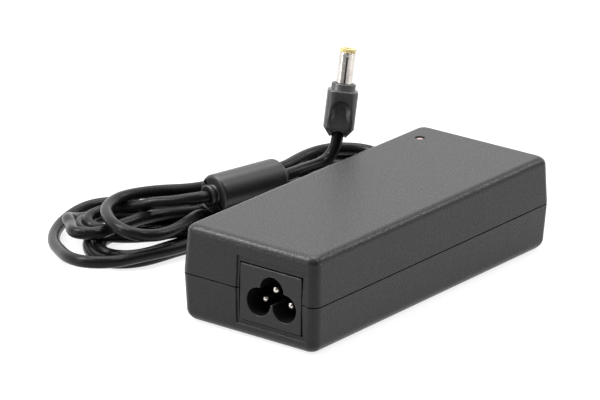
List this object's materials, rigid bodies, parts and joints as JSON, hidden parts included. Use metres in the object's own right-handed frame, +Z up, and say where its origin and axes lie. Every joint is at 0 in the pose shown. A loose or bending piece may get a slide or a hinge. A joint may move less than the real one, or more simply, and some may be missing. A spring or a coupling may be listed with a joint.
{
  "type": "laptop power adapter",
  "caption": "Slab-shaped laptop power supply with a three-pole mains inlet, and a low-voltage lead tied in a hank, with an interference choke and a barrel plug.",
  "frame": {"origin": "the middle of the case's underside, on the surface it lies on", "axes": "+Y runs along the case from the mains inlet to the low-voltage lead, +Z is up through the lid, and +X points away from the hank of lead, which lies on the -X side"},
  "size_m": [0.1338, 0.1651, 0.0538],
  "materials": {
    "case": "fine spark-eroded satin",
    "inlet": "smooth satin",
    "lamp_lens": "clear, slightly smoky",
    "label": "satin foil",
    "nickel": "bright nickel plating",
    "plug_tip": "satin",
    "cord_rubber": "soft sheen",
    "tie": "woven, dull",
    "ferrite": "dull ceramic",
    "shield": "tinned sheet",
    "insulation": "dull film",
    "board": "solder resist",
    "fuse_glass": "clear, with plated caps",
    "yellow_film": "tape",
    "winding": "enamelled copper",
    "epoxy": "moulded epoxy",
    "capacitor_sleeve": "shrunk sleeve",
    "heat_sink": "plain",
    "ceramic": "dipped",
    "red_wire": "satin",
    "black_wire": "satin"
  },
  "bodies": {
    "root": {"upper_shell": "case", "lower_shell": "case", "rating_label": "label", "lamp_lens": "lamp_lens", "lamp": "lamp_lens", "inlet_body": "inlet", "inlet_pin_line": "nickel", "inlet_pin_neutral": "nickel", "inlet_pin_earth": "nickel", "shield_tray": "shield", "insulating_sheet": "insulation", "main_board": "board", "fuse": "fuse_glass", "interference_capacitor": "yellow_film", "common_mode_choke": "winding", "bridge_rectifier": "epoxy", "bulk_capacitor": "capacitor_sleeve", "primary_heat_sink": "heat_sink", "switching_transistor": "epoxy", "transformer_core": "ferrite", "transformer_winding": "yellow_film", "safety_capacitor": "ceramic", "optocoupler": "epoxy", "secondary_heat_sink": "heat_sink", "output_rectifier": "epoxy", "output_choke": "winding", "output_capacitor_1": "capacitor_sleeve", "output_capacitor_2": "capacitor_sleeve", "output_wire_positive": "red_wire", "output_wire_negative": "black_wire", "strain_relief": "cord_rubber", "lead_from_case": "cord_rubber", "lead_hank": "cord_rubber", "lead_to_plug": "cord_rubber", "cable_tie": "tie", "choke_sleeve": "cord_rubber", "ferrite_core": "ferrite", "plug_body": "cord_rubber", "plug_barrel": "nickel", "plug_insulator": "plug_tip", "plug_contact": "nickel"}
  },
  "joints": []
}
